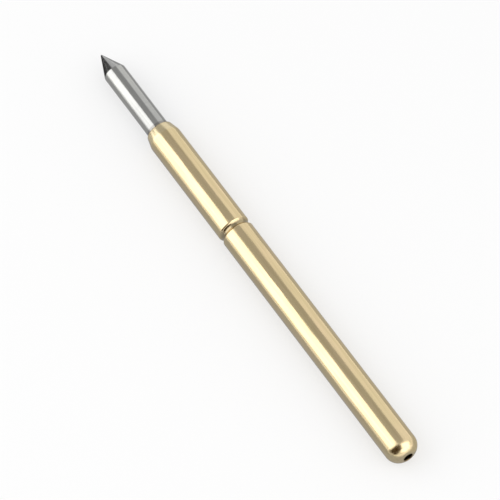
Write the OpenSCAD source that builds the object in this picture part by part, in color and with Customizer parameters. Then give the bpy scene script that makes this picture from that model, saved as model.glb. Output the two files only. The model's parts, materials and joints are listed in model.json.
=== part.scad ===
// Spring contact probe (pogo pin): a spear-tipped plunger that slides in a closed, drawn barrel
// on a compression spring. The pin lies along X: the tip points to +X and the closed tail to -X.
// The origin is on the pin's axis, at the middle of the barrel's plain shank.

/* [Barrel] */
// Length of the barrel, from the mouth to the tail
barrel_len = 13.24; // [12.2:0.02:15]
// Outside diameter of the barrel
barrel_d = 1.02; // [1:0.01:1.2]
// Wall thickness of the barrel tube
barrel_wall = 0.125; // [0.1:0.005:0.135]
// Outside radius of the rounded tail
tail_r = 0.42; // [0.3:0.01:0.48]
// Diameter of the vent hole in the tail
vent_d = 0.28; // [0.16:0.02:0.4]

/* [Mouth] */
// Length of the stretch that is swaged in towards the mouth
mouth_len = 0.34; // [0.2:0.02:0.6]
// Wall thickness of the rounded lip
lip_wall = 0.06; // [0.04:0.005:0.07]
// Depth of the close guiding land behind the lip
lip_land = 0.3; // [0.15:0.05:0.6]

/* [Crimp groove] */
// Distance of the rolled groove from the mouth
groove_pos = 4.21; // [3.9:0.01:5.2]
// Depth of the rolled groove
groove_depth = 0.07; // [0.05:0.005:0.09]
// Radius of the groove's round bottom
groove_r = 0.12; // [0.09:0.01:0.16]

/* [Plunger] */
// Diameter of the plunger
plunger_d = 0.71; // [0.66:0.01:0.73]
// Length of the plunger outside the barrel
plunger_out = 3.3; // [2.9:0.05:4.2]
// Full angle of the spear tip
tip_angle = 46; // [30:1:90]
// Radius at the very point
tip_r = 0.03; // [0.01:0.005:0.06]
// Full travel of the plunger
travel = 2.65; // [1.8:0.05:2.8]
// Length of the captive head behind the neck
head_len = 1; // [0.6:0.05:1.6]
// Chamfer on the plunger's inner edges
edge_chamfer = 0.04; // [0.02:0.01:0.06]

/* [Spring] */
// Diameter of the spring wire
wire_d = 0.12; // [0.1:0.005:0.14]
// Number of coils
coils = 29; // [20:1:31]

/* [Clearances] */
// Radial gap between the plunger and the land in the mouth
slide_gap = 0.015; // [0.01:0.005:0.025]
// Radial gap between the captive head and the bore
head_gap = 0.03; // [0.02:0.005:0.04]
// Radial gap between the plunger's neck and the crimp
neck_gap = 0.05; // [0.03:0.01:0.1]
// Gap between the captive head and the crimp at rest
stop_gap = 0.01; // [0.005:0.005:0.03]
// Gap left in front of the crimp at full travel
end_gap = 0.15; // [0.05:0.05:0.3]
// Radial gap between the spring and the bore
spring_gap = 0.025; // [0.02:0.005:0.04]
// Gap between the spring and each of its seats
seat_gap = 0.01; // [0.005:0.005:0.015]
// Gap between the closed coils at the spring's ends
coil_gap = 0.01; // [0.005:0.005:0.02]

/* [Hidden] */
$fn = 72;
arc_steps = 12;

// Radii
barrel_r = barrel_d / 2;
bore_r = barrel_r - barrel_wall;
plunger_r = plunger_d / 2;
head_r = bore_r - head_gap;
wire_r = wire_d / 2;
coil_r = bore_r - spring_gap - wire_r;

// Mouth of the barrel: a half-round lip in front of a cone
land_r = plunger_r + slide_gap;
lip_r = lip_wall / 2;
mouth_r = land_r + lip_wall;

// Rounded tail, inside and outside; heights run back from the mouth at 0
tail_inner_r = tail_r - barrel_wall;
tail_centre_r = barrel_r - tail_r;
tail_centre_z = tail_r - barrel_len;

// Crimp: the tube's wall follows the round groove and stands into the bore as a ridge
ridge_r = groove_r + barrel_wall;
ridge_centre_r = barrel_r - groove_depth + groove_r;
neck_r = ridge_centre_r - ridge_r - neck_gap;

// Half the ridge's length along the pin at a radius, or 0 where the ridge doesn't reach that far in
function ridge_half(r) = sqrt(max(0, pow(ridge_r, 2) - pow(ridge_centre_r - r, 2)));

// Plunger: heights of its steps
tip_half = tip_angle / 2;
tip_centre_z = plunger_out - tip_r;
cone_base_z = tip_centre_z + tip_r / sin(tip_half) - plunger_r / tan(tip_half);
neck_top_z = travel + end_gap + ridge_half(plunger_r) - groove_pos;
head_top_z = -groove_pos - ridge_half(head_r) - stop_gap;
head_end_z = head_top_z - head_len;

// Spring: heights of the wire's centre line at its two ends
seat_drop = sqrt(pow(tail_inner_r - wire_r - seat_gap, 2) - pow(tail_inner_r - wire_r - spring_gap, 2));
spring_low_z = tail_centre_z - seat_drop;
spring_high_z = head_end_z - seat_gap - wire_r;
spring_len = spring_high_z - spring_low_z;
closed_coils = 1;
closed_pitch = wire_d + coil_gap;
open_pitch = (spring_len - 2 * closed_coils * closed_pitch) / (coils - 2 * closed_coils);
coil_steps = 16;
wire_sides = 6;

// The plain shank between the swaged mouth and the rounded tail, and the mouth's place on X
shank_len = barrel_len - mouth_len - tail_r;
mouth_x = mouth_len + shank_len / 2;

// Stands its children, drawn up Z from the mouth, along X
module along_x() {
    translate([mouth_x, 0, 0])
        rotate([0, 90, 0])
            children();
}

// Points along an arc, from one angle to another
function arc(centre, radius, from, to) =
    [for (i = [0:arc_steps]) let (a = from + (to - from) * i / arc_steps) centre + radius * [cos(a), sin(a)]];

// Half section of the tube: lip, land, bore and ridge, then back over the tail, groove and shank
module barrel_section() {
    crimp_centre = [ridge_centre_r, -groove_pos];
    tail_centre = [tail_centre_r, tail_centre_z];
    ridge_angle = acos((bore_r - ridge_centre_r) / ridge_r);
    groove_angle = acos((barrel_r - ridge_centre_r) / groove_r);
    polygon(concat(
        arc([land_r + lip_r, -lip_r], lip_r, 0, 180),
        [[land_r, -lip_land], [bore_r, land_r - bore_r - lip_land]],
        arc(crimp_centre, ridge_r, ridge_angle, 360 - ridge_angle),
        arc(tail_centre, tail_inner_r, 0, -90),
        [[0, barrel_wall - barrel_len], [0, -barrel_len]],
        arc(tail_centre, tail_r, -90, 0),
        arc(crimp_centre, groove_r, 360 - groove_angle, groove_angle),
        [[barrel_r, -mouth_len]]
    ));
}

module barrel() {
    color([0.88, 0.74, 0.46])
        along_x()
            difference() {
                rotate_extrude()
                    barrel_section();
                translate([0, 0, -barrel_len - barrel_wall])
                    cylinder(d = vent_d, h = 3 * barrel_wall);
            }
}

// Half section of the plunger: round point, cone, bearing, neck and captive head
module plunger_section() {
    steps = [
        [plunger_r, cone_base_z],
        [plunger_r, neck_top_z + edge_chamfer],
        [plunger_r - edge_chamfer, neck_top_z],
        [neck_r, neck_top_z],
        [neck_r, head_top_z],
        [head_r, head_top_z],
        [head_r, head_end_z + edge_chamfer],
        [head_r - edge_chamfer, head_end_z],
        [0, head_end_z]
    ];
    polygon(concat(arc([0, tip_centre_z], tip_r, 90, tip_half), steps));
}

module plunger() {
    color([0.78, 0.79, 0.8])
        along_x()
            rotate_extrude()
                plunger_section();
}

// Height of the wire's centre line above the lower end, after t turns
function coil_rise(t) =
    t < closed_coils ? t * closed_pitch
    : t > coils - closed_coils ? spring_len - (coils - t) * closed_pitch
    : closed_coils * closed_pitch + (t - closed_coils) * open_pitch;

// A point on the wire's surface, after t turns and at the angle a round the wire
function wire_point(t, a) =
    let (r = coil_r + wire_r * cos(a))
    [r * cos(360 * t), r * sin(360 * t), spring_low_z + coil_rise(t) + wire_r * sin(a)];

module spring() {
    rings = coils * coil_steps;
    points = [
        for (i = [0:rings], k = [0:wire_sides - 1])
            wire_point(i / coil_steps, 360 * k / wire_sides)
    ];
    skin = [
        for (i = [0:rings - 1], k = [0:wire_sides - 1])
            let (n = (k + 1) % wire_sides, low = i * wire_sides, high = low + wire_sides)
            each [[low + k, high + k, high + n], [low + k, high + n, low + n]]
    ];
    first_cap = [for (k = [0:wire_sides - 1]) k];
    last_cap = [for (k = [wire_sides - 1:-1:0]) rings * wire_sides + k];
    color([0.62, 0.63, 0.65])
        along_x()
            polyhedron(points, concat(skin, [first_cap, last_cap]));
}

barrel();
plunger();
spring();
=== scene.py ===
"""Looks of a spring contact probe (pogo pin): gold-plated barrel, plated plunger and coil spring."""

import json
import math

import bpy
from mathutils import Matrix, Quaternion, Vector

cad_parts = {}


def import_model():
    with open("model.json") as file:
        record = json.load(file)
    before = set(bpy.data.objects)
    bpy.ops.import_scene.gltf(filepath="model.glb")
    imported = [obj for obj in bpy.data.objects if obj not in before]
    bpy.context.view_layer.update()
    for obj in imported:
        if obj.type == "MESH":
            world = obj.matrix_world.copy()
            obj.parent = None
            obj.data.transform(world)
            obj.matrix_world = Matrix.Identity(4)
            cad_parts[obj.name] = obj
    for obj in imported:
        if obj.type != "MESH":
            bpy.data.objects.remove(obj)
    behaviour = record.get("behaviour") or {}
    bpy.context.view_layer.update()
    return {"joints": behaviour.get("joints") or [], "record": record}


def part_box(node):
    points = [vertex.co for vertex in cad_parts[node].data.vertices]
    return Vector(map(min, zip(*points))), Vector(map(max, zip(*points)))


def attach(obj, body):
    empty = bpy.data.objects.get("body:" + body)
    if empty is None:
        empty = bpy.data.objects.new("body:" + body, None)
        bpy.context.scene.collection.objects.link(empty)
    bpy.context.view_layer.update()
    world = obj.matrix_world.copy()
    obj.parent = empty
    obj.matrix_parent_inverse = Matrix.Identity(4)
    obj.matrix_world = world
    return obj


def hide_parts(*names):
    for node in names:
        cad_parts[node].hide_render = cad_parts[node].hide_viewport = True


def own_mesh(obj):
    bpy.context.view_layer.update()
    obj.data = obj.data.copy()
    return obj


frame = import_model()

MM = 0.001

# Places along the pin and sizes that the frame gives, in mm
mouth_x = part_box("barrel")[1].x / MM
barrel_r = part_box("barrel")[1].y / MM
tip_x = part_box("plunger")[1].x / MM
head_end_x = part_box("plunger")[0].x / MM
shank_len = frame["record"]["mounts"][0]["dims"]["length_mm"]
tail_x = -shank_len / 2
travel = frame["joints"][0]["range_m"][1] / MM

# Sizes that the part's source names too, in mm
WALL = 0.125
TAIL_R = 0.42
VENT_R = 0.14
LIP_R = 0.03
LIP_LAND = 0.3
GROOVE_POS = 4.21
GROOVE_DEPTH = 0.07
GROOVE_R = 0.12
PLUNGER_R = 0.355
NECK_R = 0.265
HEAD_LEN = 1.0
TIP_HALF = math.radians(23)
TIP_R = 0.03
CHAMFER = 0.04
WIRE_R = 0.06
COILS = 29
SLIDE_GAP = 0.015
END_GAP = 0.15
SPRING_GAP = 0.025
COIL_GAP = 0.01

# Roundings that only these pieces have, in mm
SHOULDER_R = 0.45
GROOVE_EDGE_R = 0.06
VENT_EDGE_R = 0.02
CONE_EDGE_R = 0.03

# Length of the slope behind the land in the mouth, in mm
LAND_SLOPE = 0.015

# Fineness of the meshes: sides round a turned piece, steps round a coil and sides round its wire
LATHE_SIDES = 192
COIL_STEPS = 40
WIRE_SIDES = 10

# Edges sharper than these angles stay sharp in the shading, in degrees
TURNED_SHARP = 32
WIRE_SHARP = 50

bore_r = barrel_r - WALL
land_r = PLUNGER_R + SLIDE_GAP
groove_x = mouth_x - GROOVE_POS
groove_centre_r = barrel_r - GROOVE_DEPTH + GROOVE_R


# ---------------------------------------------------------------- shapes

def arc(x, r, radius, start, end, steps=10):
    """Points along an arc in the section plane; angles in degrees from +X towards +R."""
    turn = [math.radians(start + (end - start) * i / steps) for i in range(steps + 1)]
    return [(x + radius * math.cos(a), r + radius * math.sin(a)) for a in turn]


def fillet(before, corner, after, radius, steps=8):
    """The corner of a section line, rounded to a radius."""
    b, c, a = Vector(before), Vector(corner), Vector(after)
    u, v = (b - c).normalized(), (a - c).normalized()
    half = u.angle(v) / 2
    reach = radius / math.tan(half)
    centre = c + (u + v).normalized() * (radius / math.sin(half))
    start, end = c + u * reach - centre, c + v * reach - centre
    sweep = start.angle_signed(end)
    base = math.atan2(start.y, start.x)
    turn = [base - sweep * i / steps for i in range(steps + 1)]
    return [(centre.x + radius * math.cos(a), centre.y + radius * math.sin(a)) for a in turn]


def new_object(name, verts, faces, sharp_deg):
    """A smooth-shaded mesh object in the scene; verts in metres."""
    mesh = bpy.data.meshes.new(name)
    mesh.from_pydata(verts, [], faces)
    mesh.validate()
    mesh.polygons.foreach_set("use_smooth", [True] * len(mesh.polygons))
    mesh.set_sharp_from_angle(angle=math.radians(sharp_deg))
    obj = bpy.data.objects.new(name, mesh)
    bpy.context.scene.collection.objects.link(obj)
    return obj


def quad(name, corners):
    """A flat four-sided sheet; corners in metres."""
    return new_object(name, corners, [[0, 1, 2, 3]], TURNED_SHARP)


def lathe(name, section, closed):
    """A section of (x, r) points in mm, spun round X. An open section starts and ends on the axis."""
    # Where two arcs meet, their shared point is kept once, so that no face is empty
    following = section[1:] + [(math.inf, 0)]
    section = [p for p, q in zip(section, following) if math.dist(p, q) > 1e-6]
    verts, rings = [], []
    for x, r in section:
        if r < 1e-6:
            rings.append([len(verts)] * LATHE_SIDES)
            verts.append((x * MM, 0, 0))
            continue
        rings.append(list(range(len(verts), len(verts) + LATHE_SIDES)))
        for k in range(LATHE_SIDES):
            a = 2 * math.pi * k / LATHE_SIDES
            verts.append((x * MM, r * MM * math.cos(a), r * MM * math.sin(a)))
    pairs = list(zip(rings, rings[1:]))
    if closed:
        pairs.append((rings[-1], rings[0]))
    faces = []
    for a, b in pairs:
        for k in range(LATHE_SIDES):
            n = (k + 1) % LATHE_SIDES
            # A ring on the axis is one point, so the face there is a triangle
            faces.append(list(dict.fromkeys([a[k], a[n], b[n], b[k]])))
    return new_object(name, verts, faces, TURNED_SHARP)


def barrel_section():
    """Lip, swaged mouth, shank, groove, rounded tail and vent, then back along the bore and its ridge."""
    mouth_r = land_r + 2 * LIP_R
    lip_x = mouth_x - LIP_R
    shoulder = (shank_len / 2, barrel_r)
    edge_r = barrel_r - GROOVE_EDGE_R
    spread = math.sqrt((GROOVE_R + GROOVE_EDGE_R) ** 2 - (groove_centre_r - edge_r) ** 2)
    lean = math.degrees(math.atan2(groove_centre_r - edge_r, spread))
    vent_turn = math.asin((VENT_R + VENT_EDGE_R - barrel_r + TAIL_R) / TAIL_R)
    vent_x = tail_x - TAIL_R * math.cos(vent_turn)
    inner_r = TAIL_R - WALL
    inner_turn = 180 - math.degrees(math.asin((VENT_R - barrel_r + TAIL_R) / inner_r))
    ridge_r = GROOVE_R + WALL
    ridge_turn = math.degrees(math.acos((groove_centre_r - bore_r) / ridge_r))
    return (
        arc(lip_x, land_r + LIP_R, LIP_R, -90, 80)
        + fillet((lip_x, mouth_r), shoulder, (0, barrel_r), SHOULDER_R)
        + arc(groove_x + spread, edge_r, GROOVE_EDGE_R, 90, 180 - lean, 8)
        + arc(groove_x, groove_centre_r, GROOVE_R, -lean, lean - 180, 14)
        + arc(groove_x - spread, edge_r, GROOVE_EDGE_R, lean, 90, 8)
        + arc(tail_x, barrel_r - TAIL_R, TAIL_R, 90, 171, 22)
        + arc(vent_x + VENT_EDGE_R, VENT_R + VENT_EDGE_R, VENT_EDGE_R, 185, 270, 6)
        + arc(tail_x, barrel_r - TAIL_R, inner_r, inner_turn, 90, 10)
        + arc(groove_x, groove_centre_r, ridge_r, -90 - ridge_turn, -90 + ridge_turn, 12)
        + [(mouth_x - LIP_LAND - LAND_SLOPE, bore_r), (mouth_x - LIP_LAND, land_r)]
    )


def plunger_section():
    """Round point, cone, front bearing, neck and captive head."""
    point_x = tip_x - TIP_R
    base_x = point_x + TIP_R / math.sin(TIP_HALF) - PLUNGER_R / math.tan(TIP_HALF)
    ridge_half = math.sqrt((GROOVE_R + WALL) ** 2 - (groove_centre_r - PLUNGER_R) ** 2)
    neck_x = groove_x + ridge_half + END_GAP + travel
    head_x = head_end_x + HEAD_LEN
    return (
        arc(point_x, 0, TIP_R, 0, 67)
        + fillet((point_x, TIP_R), (base_x, PLUNGER_R), (neck_x, PLUNGER_R), CONE_EDGE_R)
        + [
            (neck_x + CHAMFER, PLUNGER_R), (neck_x, PLUNGER_R - CHAMFER), (neck_x, NECK_R),
            (head_x, NECK_R), (head_x, PLUNGER_R),
            (head_end_x + CHAMFER, PLUNGER_R), (head_end_x, PLUNGER_R - CHAMFER), (head_end_x, 0),
        ]
    )


def coil_spring(name):
    """Round wire wound as the source winds it: one closed coil at each end."""
    low, high = (c.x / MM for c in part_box("spring"))
    low, high = low + WIRE_R, high - WIRE_R
    coil_r = bore_r - SPRING_GAP - WIRE_R
    closed_pitch = 2 * WIRE_R + COIL_GAP
    pitch = (high - low - 2 * closed_pitch) / (COILS - 2)
    verts, faces = [], []
    last = COILS * COIL_STEPS
    for i in range(last + 1):
        t = i / COIL_STEPS
        first_coil, last_coil = min(t, 1), max(0, t - COILS + 1)
        open_coils = max(0, min(t, COILS - 1) - 1)
        rise = first_coil * closed_pitch + open_coils * pitch + last_coil * closed_pitch
        turn = 2 * math.pi * t
        for k in range(WIRE_SIDES):
            a = 2 * math.pi * k / WIRE_SIDES
            r = coil_r + WIRE_R * math.cos(a)
            x = low + rise + WIRE_R * math.sin(a)
            verts.append((x * MM, r * math.sin(turn) * MM, -r * math.cos(turn) * MM))
    for i in range(last):
        here, ahead = i * WIRE_SIDES, (i + 1) * WIRE_SIDES
        for k in range(WIRE_SIDES):
            n = (k + 1) % WIRE_SIDES
            faces.append([here + k, ahead + k, ahead + n, here + n])
    faces.append(list(range(WIRE_SIDES)))
    faces.append([last * WIRE_SIDES + k for k in reversed(range(WIRE_SIDES))])
    return new_object(name, verts, faces, WIRE_SHARP)


# ---------------------------------------------------------------- materials

class Graph:
    """A material's node tree, with short calls for the nodes used here."""

    def __init__(self, name):
        self.mat = bpy.data.materials.new(name)
        self.mat.use_nodes = True
        self.tree = self.mat.node_tree
        self.tree.nodes.clear()

    def add(self, kind, values=None, **props):
        n = self.tree.nodes.new(kind)
        for key, value in props.items():
            setattr(n, key, value)
        for key, value in (values or {}).items():
            if isinstance(value, bpy.types.NodeSocket):
                self.tree.links.new(value, n.inputs[key])
            else:
                n.inputs[key].default_value = value
        return n

    def maths(self, operation, a, b=0.0):
        return self.add("ShaderNodeMath", {0: a, 1: b}, operation=operation).outputs[0]

    def place(self):
        """The point in the row frame, in mm, as a vector and as its parts."""
        coords = self.add("ShaderNodeTexCoord").outputs["Object"]
        point = self.add("ShaderNodeVectorMath", {0: coords, "Scale": 1000.0}, operation="SCALE").outputs[0]
        parts = self.add("ShaderNodeSeparateXYZ", {0: point}).outputs
        return point, parts

    def scaled(self, point, factors):
        """The point with each of its parts multiplied by a factor."""
        return self.add("ShaderNodeVectorMath", {0: point, 1: factors}, operation="MULTIPLY").outputs[0]

    def from_axis(self, point):
        """Distance from the pin's axis, in mm."""
        across = self.scaled(point, (0, 1, 1))
        return self.add("ShaderNodeVectorMath", {0: across}, operation="LENGTH").outputs["Value"]

    def noise(self, point, stretch, scale, detail):
        """Noise from 0 to 1; a small stretch along a direction draws it out that way."""
        moved = self.scaled(point, stretch)
        values = {"Vector": moved, "Scale": scale, "Detail": detail, "Roughness": 0.55}
        return self.add("ShaderNodeTexNoise", values, noise_dimensions="3D").outputs[0]

    def ramp(self, value, low, high, to_low=0.0, to_high=1.0):
        """A smooth step between two values, flat outside them."""
        values = {"Value": value, "From Min": low, "From Max": high, "To Min": to_low, "To Max": to_high}
        node = self.add("ShaderNodeMapRange", values, interpolation_type="SMOOTHSTEP", clamp=True)
        return node.outputs[0]

    def near(self, value, at, inner, outer):
        """1 within inner of a place, falling to 0 at outer."""
        gap = self.maths("ABSOLUTE", self.maths("SUBTRACT", value, at))
        return self.ramp(gap, inner, outer, 1.0, 0.0)

    def blend(self, amount, a, b):
        """Colour a, passing into colour b as the amount goes from 0 to 1."""
        n = self.add("ShaderNodeMix", data_type="RGBA")
        sockets = (n.inputs[0], n.inputs[6], n.inputs[7])
        for socket, value in zip(sockets, (amount, a, b)):
            if isinstance(value, bpy.types.NodeSocket):
                self.tree.links.new(value, socket)
            else:
                socket.default_value = value
        return n.outputs[2]

    def bump(self, height, microns, below=None):
        """A normal from a height of 0 to 1, as deep as the microns say, over the normal below it."""
        values = {"Height": height, "Strength": 1.0, "Distance": microns * 1e-6}
        if below is not None:
            values["Normal"] = below
        return self.add("ShaderNodeBump", values).outputs[0]

    def metal(self, colour, roughness, normal):
        values = {"Base Color": colour, "Metallic": 1.0, "Roughness": roughness, "Normal": normal}
        shader = self.add("ShaderNodeBsdfPrincipled", values)
        out = self.add("ShaderNodeOutputMaterial")
        self.tree.links.new(shader.outputs[0], out.inputs[0])
        return self.mat


def gold_plating():
    """Gold on a drawn tube: lines along it, turned marks where worked, painted shade at the lip, in the
    groove and in the vent.
    """
    g = Graph("gold_plating")
    point, parts = g.place()
    draw = g.noise(point, (0.05, 1, 1), 24.0, 4.0)
    fine = g.noise(point, (0.03, 1, 1), 70.0, 2.0)
    rings = g.noise(point, (1, 0.08, 0.08), 30.0, 3.0)
    broad = g.noise(point, (0.04, 1, 1), 9.0, 3.0)
    cloud = g.noise(point, (0.5, 1, 1), 1.7, 3.0)

    # Where the worked places and the painted shade at the lip, groove and vent lie: 1 there, 0 elsewhere
    rolled = g.near(parts["X"], groove_x, 0.1, 0.3)
    groove = g.near(parts["X"], groove_x, 0.03, 0.13)
    dome = g.ramp(parts["X"], tail_x - 0.1, tail_x + 0.05, 1.0, 0.0)
    vent = g.ramp(g.from_axis(point), VENT_R + 0.005, VENT_R + 0.03, 1.0, 0.0)
    mouth = g.ramp(parts["X"], mouth_x - 0.4, mouth_x - 0.3)
    lip = g.ramp(parts["X"], mouth_x - 0.05, mouth_x - 0.02)
    worked = g.maths("MAXIMUM", g.maths("MAXIMUM", rolled, dome), mouth)

    colour = g.blend(g.ramp(cloud, 0.35, 0.65), (0.94, 0.765, 0.445, 1), (0.98, 0.775, 0.47, 1))
    colour = g.blend(g.ramp(broad, 0.45, 0.6, 0.0, 0.6), colour, (0.84, 0.675, 0.38, 1))
    colour = g.blend(g.ramp(draw, 0.42, 0.7, 0.0, 0.4), colour, (0.83, 0.69, 0.41, 1))
    colour = g.blend(g.maths("MULTIPLY", mouth, 0.4), colour, (0.97, 0.86, 0.6, 1))
    # Painted shade: the lip darkens where the plunger goes into the mouth
    colour = g.blend(g.maths("MULTIPLY", lip, 0.5), colour, (0.4, 0.29, 0.17, 1))
    # Painted shade: the groove darkens inside, where shade falls
    colour = g.blend(g.maths("MULTIPLY", groove, 0.65), colour, (0.32, 0.26, 0.16, 1))
    # Painted shade: the vent goes dark brown inside the hole, where shade falls
    colour = g.blend(g.maths("MULTIPLY", vent, 0.9), colour, (0.2, 0.12, 0.05, 1))

    rough = g.maths("ADD", g.ramp(draw, 0.3, 0.7, 0.13, 0.2), g.maths("MULTIPLY", worked, 0.06))
    streaks = g.maths("ADD", g.maths("ADD", draw, broad), g.maths("MULTIPLY", fine, 0.35))
    normal = g.bump(streaks, 1.3)
    normal = g.bump(g.maths("MULTIPLY", rings, worked), 1.6, normal)
    return g.metal(colour, rough, normal)


def silver_plating():
    """Silver-grey on a turned pin: fine rings, long streaks, a duller ground cone, painted shade where it
    goes into the barrel.
    """
    g = Graph("silver_plating")
    point, parts = g.place()
    rings = g.noise(point, (1, 0.05, 0.05), 34.0, 4.0)
    fine = g.noise(point, (0.04, 1, 1), 60.0, 2.0)
    broad = g.noise(point, (0.05, 1, 1), 10.0, 3.0)
    cloud = g.noise(point, (0.4, 1, 1), 1.9, 3.0)
    cone = g.ramp(parts["X"], tip_x - 0.85, tip_x - 0.75)
    painted_mouth_shade = g.near(parts["X"], mouth_x + 0.05, 0.04, 0.08)

    colour = g.blend(g.ramp(cloud, 0.35, 0.65), (0.62, 0.62, 0.59, 1), (0.56, 0.56, 0.54, 1))
    colour = g.blend(g.ramp(broad, 0.45, 0.6, 0.0, 0.6), colour, (0.5, 0.5, 0.49, 1))
    colour = g.blend(g.ramp(rings, 0.4, 0.75, 0.0, 0.3), colour, (0.47, 0.47, 0.46, 1))
    colour = g.blend(g.maths("MULTIPLY", cone, 0.7), colour, (0.42, 0.42, 0.42, 1))
    # Painted shade on the plunger next to the mouth, where it goes into the barrel
    colour = g.blend(g.maths("MULTIPLY", painted_mouth_shade, 0.45), colour, (0.2, 0.17, 0.14, 1))

    rough = g.maths("ADD", g.ramp(rings, 0.3, 0.7, 0.12, 0.19), g.maths("MULTIPLY", cone, 0.05))
    normal = g.bump(fine, 0.3)
    normal = g.bump(rings, 0.35, normal)
    return g.metal(colour, rough, normal)


def spring_steel():
    """Drawn spring wire, cloudy and slightly rough."""
    g = Graph("spring_steel")
    point, _ = g.place()
    marks = g.noise(point, (1, 1, 1), 26.0, 3.0)
    cloud = g.noise(point, (1, 1, 1), 2.2, 2.0)
    colour = g.blend(g.ramp(cloud, 0.35, 0.65), (0.55, 0.56, 0.57, 1), (0.48, 0.48, 0.5, 1))
    return g.metal(colour, g.ramp(marks, 0.3, 0.7, 0.24, 0.36), g.bump(marks, 1.0))


# ---------------------------------------------------------------- the pieces

gold, silver, steel = gold_plating(), silver_plating(), spring_steel()

barrel = lathe("barrel_tube", barrel_section(), closed=True)
barrel.data.materials.append(gold)
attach(barrel, "barrel")
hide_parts("barrel")

plunger = lathe("plunger_pin", plunger_section(), closed=False)
plunger.data.materials.append(silver)
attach(plunger, "plunger")
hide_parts("plunger")

spring = coil_spring("coil_spring")
spring.data.materials.append(steel)
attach(spring, "barrel")
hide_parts("spring")
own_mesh(spring)


# ---------------------------------------------------------------- floor, cards, light, camera

# Strength of the sky, the floor's own glow where it is seen, and its half width in metres
SKY = 0.78
FLOOR_GLOW = 0.55
FLOOR_HALF = 0.6

# The floor touches the barrel, and the cards lie just over it, in mm
floor_z = -barrel_r
CARD_LIFT = 0.004

SQUARE = ((-1, -1), (1, -1), (1, 1), (-1, 1))


def world():
    """An even pale sky."""
    w = bpy.data.worlds.new("studio")
    bpy.context.scene.world = w
    w.use_nodes = True
    back = w.node_tree.nodes["Background"]
    back.inputs[0].default_value = (1, 1, 1, 1)
    back.inputs[1].default_value = SKY


def floor():
    """A pale floor that keeps the pin's shadow and looks near white to the camera and in the metal."""
    g = Graph("pale_floor")
    path = g.add("ShaderNodeLightPath").outputs
    mirrored = g.maths("MAXIMUM", path["Is Glossy Ray"], path["Is Transmission Ray"])
    seen = g.maths("MAXIMUM", path["Is Camera Ray"], mirrored)
    diffuse = g.add("ShaderNodeBsdfDiffuse", {"Color": (0.9, 0.9, 0.9, 1)})
    glow = g.add("ShaderNodeEmission", {"Color": (1, 1, 1, 1), "Strength": 1.0})
    share = g.maths("MULTIPLY", seen, FLOOR_GLOW)
    mix = g.add("ShaderNodeMixShader", {0: share, 1: diffuse.outputs[0], 2: glow.outputs[0]})
    out = g.add("ShaderNodeOutputMaterial")
    g.tree.links.new(mix.outputs[0], out.inputs[0])
    obj = quad("floor", [(x * FLOOR_HALF, y * FLOOR_HALF, floor_z * MM) for x, y in SQUARE])
    obj.data.materials.append(g.mat)


def card(name, corners, grey, tint=(1, 1, 1)):
    """A studio card, with corners in mm, that the metal reflects and nothing else sees."""
    g = Graph(name)
    colour = (*(grey * t for t in tint), 1)
    glow = g.add("ShaderNodeEmission", {"Color": colour, "Strength": 1.0})
    out = g.add("ShaderNodeOutputMaterial")
    g.tree.links.new(glow.outputs[0], out.inputs[0])
    obj = quad(name, [tuple(c * MM for c in p) for p in corners])
    obj.data.materials.append(g.mat)
    obj.visible_camera = obj.visible_diffuse = obj.visible_shadow = False
    obj.visible_transmission = obj.visible_volume_scatter = False


def hung_card(name, towards, distance, width, height, grey, along=(1, 0, 0), tint=(1, 1, 1)):
    """A card hung facing the pin: width along one direction, height across it, in mm."""
    d = Vector(towards).normalized()
    side = (Vector(along) - d * d.dot(Vector(along))).normalized()
    up = d.cross(side)
    c = d * distance
    corners = [tuple(c + side * i * width / 2 + up * j * height / 2) for i, j in SQUARE]
    card(name, corners, grey, tint)


def floor_card(name, outline, grey, tint=(1, 1, 1)):
    """A card that lies just over the floor, with an outline of (x, y) points in mm."""
    card(name, [(x, y, floor_z + CARD_LIFT) for x, y in outline], grey, tint)


def matrix_from(x, y, z, at):
    """The matrix of an object with these axes at this place."""
    m = Matrix((x, y, z)).transposed().to_4x4()
    m.translation = at
    return m


def softbox(name, towards, distance, width, height, radiance):
    """A soft lamp facing the pin; distance and size in mm."""
    light = bpy.data.lights.new(name, "AREA")
    light.shape = "RECTANGLE"
    light.size, light.size_y = width * MM, height * MM
    light.energy = radiance * math.pi * light.size * light.size_y
    obj = bpy.data.objects.new(name, light)
    bpy.context.scene.collection.objects.link(obj)
    d = Vector(towards).normalized()
    side = (Vector((1, 0, 0)) - d * d.x).normalized()
    obj.matrix_world = matrix_from(side, d.cross(side), d, d * distance * MM)
    obj.visible_camera = False


world()
floor()

# Each lamp and hung card: its direction from the pin, distance, width, height and strength
softbox("key", (0.5, 0.655, 0.59), 90, 110, 100, 0.95)
softbox("back", (-0.82, -0.33, 0.46), 90, 112, 92, 0.95)

COOL, BROWN = (0.98, 1.02, 1.13), (1, 0.6, 0.25)

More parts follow.
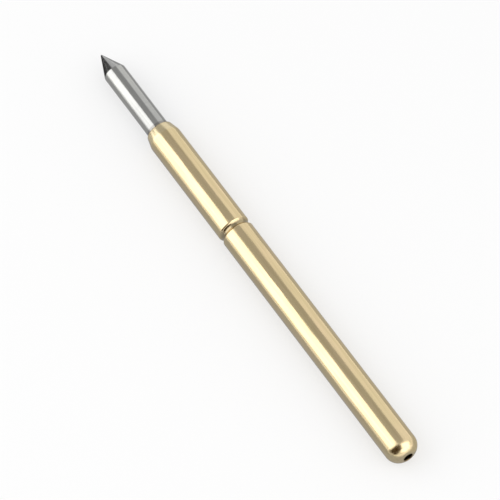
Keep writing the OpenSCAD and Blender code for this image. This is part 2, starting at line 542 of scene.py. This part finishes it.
# The overhead card makes the duller band on the tubes, the far card the dark flank of the cone,
# and the near card the dark line in the groove and the brown spot on the tail
hung_card("overhead_card", (0.445, -0.173, 0.879), 80, 150, 66, 0.39)
hung_card("far_card", (0.955, 0.235, 0.13), 70, 38, 30, 0.07, along=(-0.29, 0.94, -0.12))
hung_card("near_card", (-0.5, 0.74, 0.45), 70, 146, 70, 0.055, along=(0.343, 0.6, -0.72), tint=BROWN)

# Three cards on the floor to the left of the pin, from tail to tip, and one to its right.
# The plunger's card starts ahead of the mouth and meets the tip's card along a slant.
LEFT, RIGHT, TAIL_END, TIP_END = 9, -9, -9, tip_x + 3
MOUTH_EDGE, CONE_EDGE, SLANT_END = 7.1, 9.2, 15.6
left_outline = [(TAIL_END, -barrel_r), (MOUTH_EDGE, -barrel_r), (MOUTH_EDGE, LEFT), (TAIL_END, LEFT)]
plunger_outline = [(MOUTH_EDGE, -barrel_r), (CONE_EDGE, 0), (SLANT_END, LEFT), (MOUTH_EDGE, LEFT)]
tip_outline = [(CONE_EDGE, 0), (24, -1), (30, LEFT), (SLANT_END, LEFT)]
right_outline = [(TAIL_END, RIGHT), (TIP_END, RIGHT), (TIP_END, -barrel_r), (TAIL_END, -barrel_r)]
floor_card("left_card", left_outline, 0.38, COOL)
floor_card("plunger_card", plunger_outline, 0.46)
floor_card("tip_card", tip_outline, 0.05)
floor_card("right_card", right_outline, 0.46)

# The photo's view of the leftmost pin: the direction to the camera from the pin's middle, and its roll
VIEW_ANGLE = math.radians(7.1)
DISTANCE = 0.118
ROLL = math.radians(-14)
towards = Vector((-0.445, 0.169, 0.879)).normalized()
middle = Vector(((tail_x - TAIL_R + tip_x) / 2 * MM, 0, 0))

data = bpy.data.cameras.new("camera")
data.sensor_width = 36
data.lens = data.sensor_width / 2 / math.tan(VIEW_ANGLE / 2)
data.clip_start, data.clip_end = 0.005, 5
camera = bpy.data.objects.new("camera", data)
bpy.context.scene.collection.objects.link(camera)
camera.location = middle + towards * DISTANCE
camera.rotation_mode = "QUATERNION"
camera.rotation_quaternion = (-towards).to_track_quat("-Z", "Y") @ Quaternion((0, 0, 1), ROLL)
bpy.context.scene.camera = camera
bpy.context.scene.view_settings.view_transform = "Standard"
